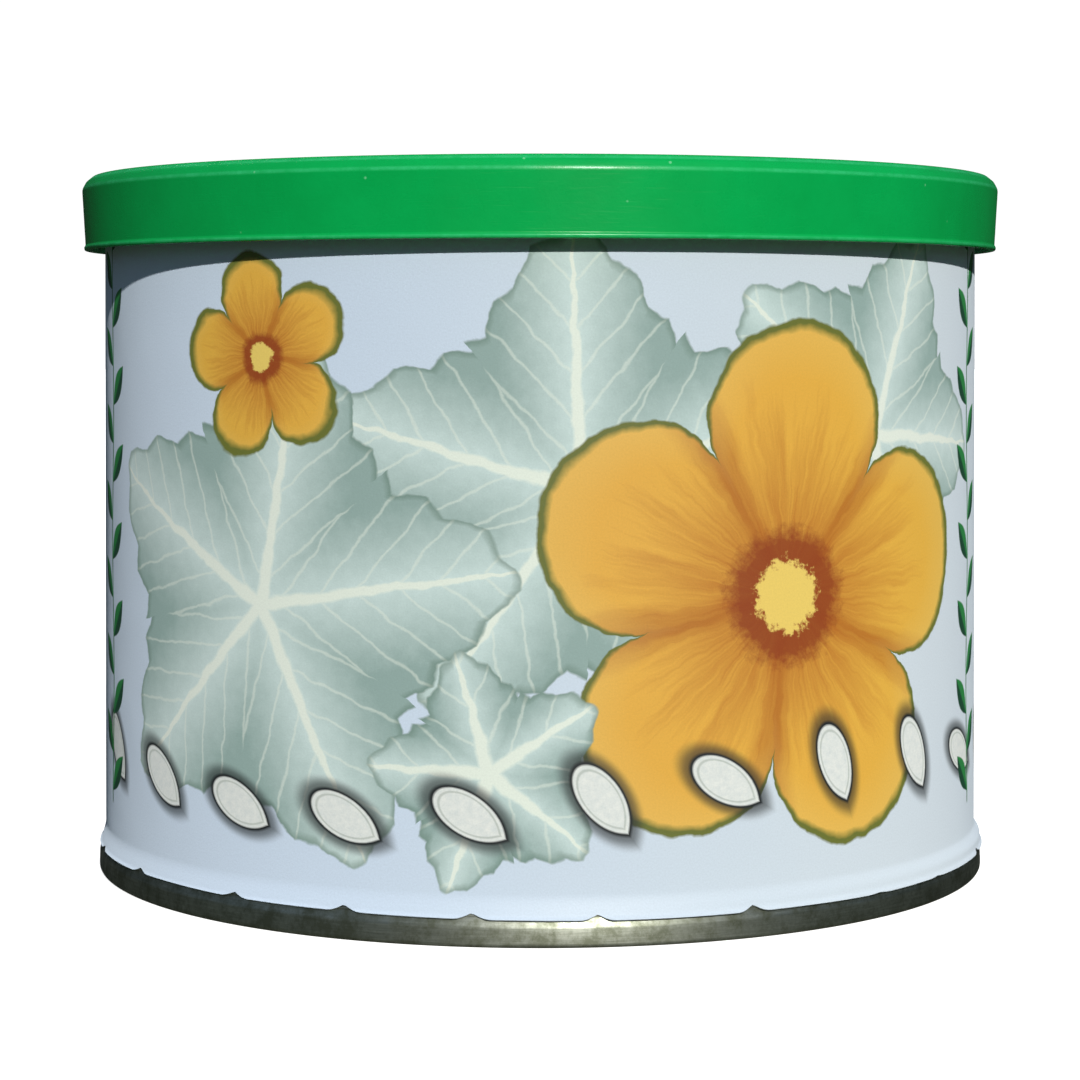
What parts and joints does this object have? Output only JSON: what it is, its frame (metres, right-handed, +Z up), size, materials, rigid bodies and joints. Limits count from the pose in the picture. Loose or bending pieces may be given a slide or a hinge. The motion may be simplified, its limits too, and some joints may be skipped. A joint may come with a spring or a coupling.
{
  "type": "round seed tin",
  "caption": "Low round tinplate can with a paper label, an easy-open end with a pull tab, and a green press-on lid that the next tin stacks on.",
  "frame": {"origin": "centre of the ring that the tin stands on", "axes": "+Z up the tin's axis; -Y towards the front of the label, and the label's lap is at the back, on +Y"},
  "size_m": [0.1048, 0.1048, 0.078],
  "materials": {
    "tinplate": "bare tinplate, bright, with fine rolling lines",
    "lacquered_tinplate": "clear-lacquered tinplate, satin",
    "printed_paper": "white paper, printed and gloss varnished",
    "green_polyethylene": "moulded low-density polyethylene, half gloss"
  },
  "bodies": {
    "root": {"can_body": "tinplate", "bottom_end": "tinplate", "easy_open_end": "lacquered_tinplate", "pull_tab": "lacquered_tinplate", "label": "printed_paper", "lid": "green_polyethylene"}
  },
  "joints": []
}
